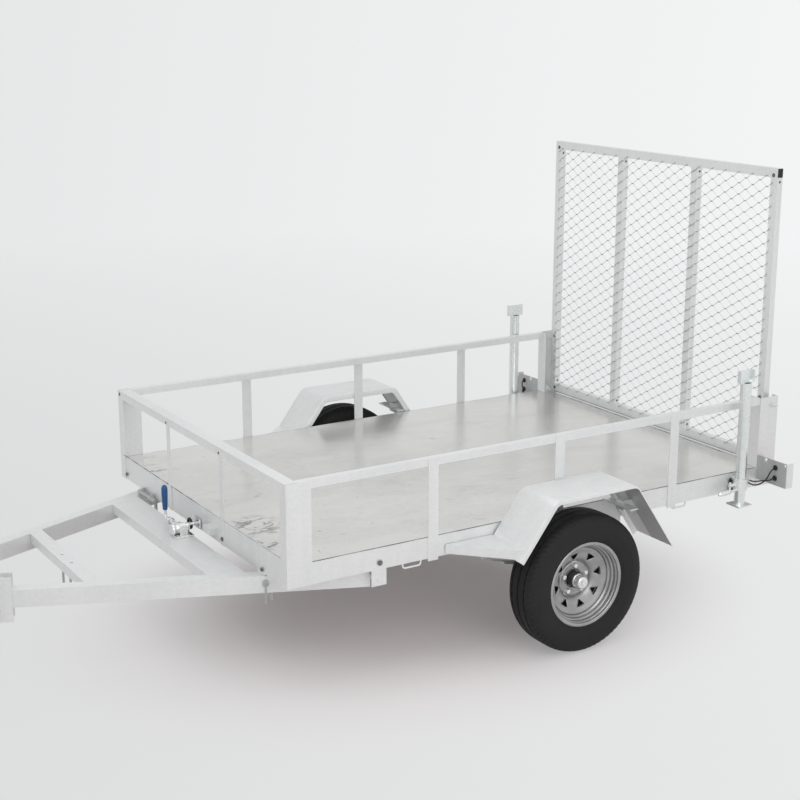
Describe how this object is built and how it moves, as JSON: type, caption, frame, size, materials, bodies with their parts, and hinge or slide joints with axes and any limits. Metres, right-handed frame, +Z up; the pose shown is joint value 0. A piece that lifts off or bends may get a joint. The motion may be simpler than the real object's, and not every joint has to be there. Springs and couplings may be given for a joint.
{
  "type": "tilting box trailer with mesh ramp",
  "caption": "Galvanised single-axle tilting box trailer with a mesh loading ramp, drop legs, mudguards, A-frame drawbar and a jockey wheel.",
  "frame": {"origin": "on the floor under the middle of the overall box", "axes": "+X towards the coupling, +Y to the trailer's left, +Z up"},
  "size_m": [3.974, 2.08, 1.846],
  "materials": {
    "galvanised": "hot-dip galvanised, pale and slightly mottled",
    "deck_galvanised": "plain galvanised sheet",
    "zinc_bright": "bright zinc plated",
    "wheel_silver": "silver paint",
    "hub_dark": "dark cast iron with plated nuts",
    "tyre": "black rubber",
    "rubber_black": "black rubber",
    "grip_blue": "blue dipped plastic",
    "lamp_red": "red lens"
  },
  "bodies": {
    "bed": {"axle_beam": "galvanised", "deck_joists": "galvanised", "deck_sheet": "deck_galvanised", "front_beam": "galvanised", "front_posts": "galvanised", "front_rail": "galvanised", "front_uprights": "galvanised", "gate_latches": "galvanised", "lamp_brackets": "galvanised", "lamp_leads": "rubber_black", "leaf_springs": "galvanised", "leg_clamps": "galvanised", "mudguard_stays": "galvanised", "mudguards": "galvanised", "packing_plates": "galvanised", "pivot_brackets": "galvanised", "rear_beam": "galvanised", "rear_posts": "galvanised", "rope_rails": "galvanised", "side_sills": "galvanised", "side_uprights": "galvanised", "spring_hangers": "galvanised", "tail_lamps": "lamp_red", "tilt_keeper": "galvanised", "top_rails": "galvanised"},
    "wheel_left": {"tyre_left": "tyre", "rim_left": "wheel_silver", "hub_left": "hub_dark"},
    "wheel_right": {"tyre_right": "tyre", "rim_right": "wheel_silver", "hub_right": "hub_dark"},
    "ramp": {"gate_rails": "galvanised", "gate_uprights": "galvanised", "gate_mesh": "galvanised"},
    "leg_left": {"leg_left": "galvanised"},
    "leg_right": {"leg_right": "galvanised"},
    "drawbar": {"drawbar_members": "galvanised", "cross_channel_front": "galvanised", "cross_channel_rear": "galvanised", "chain_hoop": "galvanised", "coupling": "galvanised", "coupling_lever": "galvanised", "tilt_latch": "galvanised", "tilt_latch_grip": "grip_blue", "tilt_pins": "galvanised", "jockey_bracket": "galvanised"},
    "jockey_tube": {"jockey_tube": "galvanised"},
    "jockey_leg": {"jockey_leg": "zinc_bright"},
    "jockey_wheel": {"jockey_wheel": "rubber_black"}
  },
  "joints": [
    {"name": "wheel_left_spin", "type": "hinge", "parent": "bed", "child": "wheel_left", "pos_m": [-0.768, 0.956, 0.289], "axis": [0, 1, 0], "continuous": true},
    {"name": "wheel_right_spin", "type": "hinge", "parent": "bed", "child": "wheel_right", "pos_m": [-0.768, -0.956, 0.289], "axis": [0, 1, 0], "continuous": true},
    {"name": "ramp_hinge", "type": "hinge", "parent": "bed", "child": "ramp", "pos_m": [-1.954, 0, 0.56], "axis": [0, -1, 0], "range_deg": [0, 115]},
    {"name": "leg_left_slide", "type": "slide", "parent": "bed", "child": "leg_left", "axis": [0, 0, -1], "range_m": [0, 0.395]},
    {"name": "leg_right_slide", "type": "slide", "parent": "bed", "child": "leg_right", "axis": [0, 0, -1], "range_m": [0, 0.395]},
    {"name": "bed_tilt", "type": "hinge", "parent": "bed", "child": "drawbar", "pos_m": [0.064, 0, 0.411], "axis": [0, 1, 0], "range_deg": [0, 20]},
    {"name": "jockey_swing", "type": "hinge", "parent": "drawbar", "child": "jockey_tube", "pos_m": [1.39869, 0.22286, 0.404], "axis": [0.3832, 0.9237, 0], "range_deg": [0, 90]},
    {"name": "jockey_slide", "type": "slide", "parent": "jockey_tube", "child": "jockey_leg", "axis": [0, 0, -1], "range_m": [-0.1, 0.1]},
    {"name": "jockey_wheel_spin", "type": "hinge", "parent": "jockey_leg", "child": "jockey_wheel", "pos_m": [1.45788, 0.24811, 0.075], "axis": [0.3832, 0.9237, 0], "continuous": true}
  ]
}
